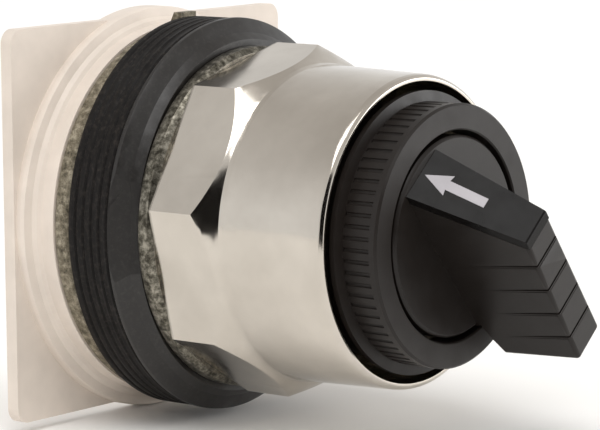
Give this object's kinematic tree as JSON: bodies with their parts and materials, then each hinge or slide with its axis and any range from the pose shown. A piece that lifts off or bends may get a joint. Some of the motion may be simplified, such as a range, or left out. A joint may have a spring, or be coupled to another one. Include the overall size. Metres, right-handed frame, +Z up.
{
  "type": "rotary isolator switch operator",
  "caption": "Panel-mount rotary switch operator: black lever knob on a plated barrel, octagonal ring nut, rubber washers, square rear plate and cam-driven push rods.",
  "frame": {"origin": "centre of the bush flange's front face, the seat for the panel, on the switch axis", "axes": "-Y along the switch axis to the front, +X to the right seen from the front, +Z up"},
  "size_m": [0.0458, 0.0581, 0.0452],
  "materials": {
    "housing_plastic": "moulded, matt",
    "zinc_casting": "die-cast zinc, rough, as cast",
    "black_rubber": "cut sheet rubber, matt",
    "gasket_rubber": "moulded rubber, satin",
    "bright_nickel": "bright plated zinc, satin barrel",
    "bezel_plastic": "moulded thermoplastic, satin",
    "knob_plastic": "moulded thermoplastic, satin",
    "cap_plastic": "moulded thermoplastic, smooth",
    "arrow_white": "white moulding, matt",
    "zinc_steel": "zinc-plated steel",
    "shaft_steel": "ground steel",
    "spring_steel": "drawn spring wire",
    "brass": "turned brass",
    "white_plastic": "acetal, as moulded",
    "rod_plastic": "acetal, as moulded"
  },
  "bodies": {
    "operator": {"rear_housing": "housing_plastic", "mounting_bush": "zinc_casting", "neck_seal": "black_rubber", "thin_washers": "black_rubber", "panel_gasket": "gasket_rubber", "ring_nut": "bright_nickel", "bezel_ring": "bezel_plastic", "rear_cover": "housing_plastic", "cover_screws": "zinc_steel", "block_inserts": "brass", "shaft_bush": "brass", "thrust_washer": "white_plastic", "rod_spring_left": "spring_steel", "rod_spring_right": "spring_steel", "detent_spring_top": "spring_steel", "detent_spring_bottom": "spring_steel"},
    "knob_group": {"knob": "knob_plastic", "pointer_cap": "cap_plastic", "pointer_arrow": "arrow_white", "knob_screw": "zinc_steel", "shaft": "shaft_steel", "shaft_seals": "black_rubber", "cam": "white_plastic", "cam_clip": "zinc_steel"},
    "left_rod": {"push_rod_left": "rod_plastic"},
    "right_rod": {"push_rod_right": "rod_plastic"},
    "top_ball": {"detent_ball_top": "shaft_steel"},
    "bottom_ball": {"detent_ball_bottom": "shaft_steel"}
  },
  "joints": [
    {"name": "knob_turn", "type": "hinge", "parent": "operator", "child": "knob_group", "pos_m": [0, 0, 0], "axis": [0, 1, 0], "range_deg": [0, 90]},
    {"name": "right_rod_push", "type": "slide", "parent": "operator", "child": "right_rod", "axis": [0, 1, 0], "range_m": [0, 0.0025], "deforming": ["rod_spring_right"]},
    {"name": "left_rod_push", "type": "slide", "parent": "operator", "child": "left_rod", "axis": [0, 1, 0], "range_m": [-0.0025, 0], "deforming": ["rod_spring_left"]},
    {"name": "top_ball_drop", "type": "slide", "parent": "operator", "child": "top_ball", "axis": [0, 1, 0], "range_m": [0, 0.0006], "deforming": ["detent_spring_top"]},
    {"name": "bottom_ball_drop", "type": "slide", "parent": "operator", "child": "bottom_ball", "axis": [0, 1, 0], "range_m": [0, 0.0006], "deforming": ["detent_spring_bottom"]}
  ],
  "couplings": [
    {"joint": "right_rod_push", "follows": "knob_turn", "m_per_rad": 0.00159},
    {"joint": "left_rod_push", "follows": "knob_turn", "m_per_rad": -0.00159}
  ]
}
